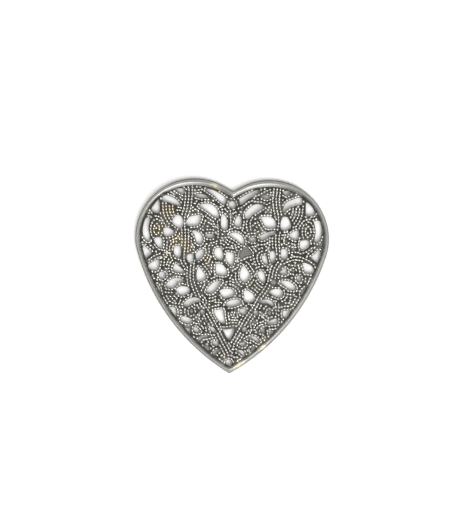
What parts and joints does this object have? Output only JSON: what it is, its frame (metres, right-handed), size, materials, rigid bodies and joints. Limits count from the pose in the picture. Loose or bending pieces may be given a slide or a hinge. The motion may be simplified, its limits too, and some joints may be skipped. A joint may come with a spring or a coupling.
{
  "type": "openwork heart stamping",
  "caption": "Flat heart-shaped stamping in antiqued silver plate: a smooth raised rim around a pierced panel of beaded scrollwork.",
  "frame": {"origin": "middle of the heart's box in plan, on the plane that its back rests on", "axes": "+Z out of the decorated face, +Y towards the notch between the lobes, +X to the heart's right as seen from the front"},
  "size_m": [0.045, 0.0452, 0.0015],
  "materials": {
    "polished_plate": "silver plate over brass, antiqued and polished back on the raised rim",
    "antiqued_plate": "silver plate over brass, darkened in the hollows and rubbed bright on the beads"
  },
  "bodies": {
    "root": {"rim_frame": "polished_plate", "openwork_panel": "antiqued_plate"}
  },
  "joints": []
}
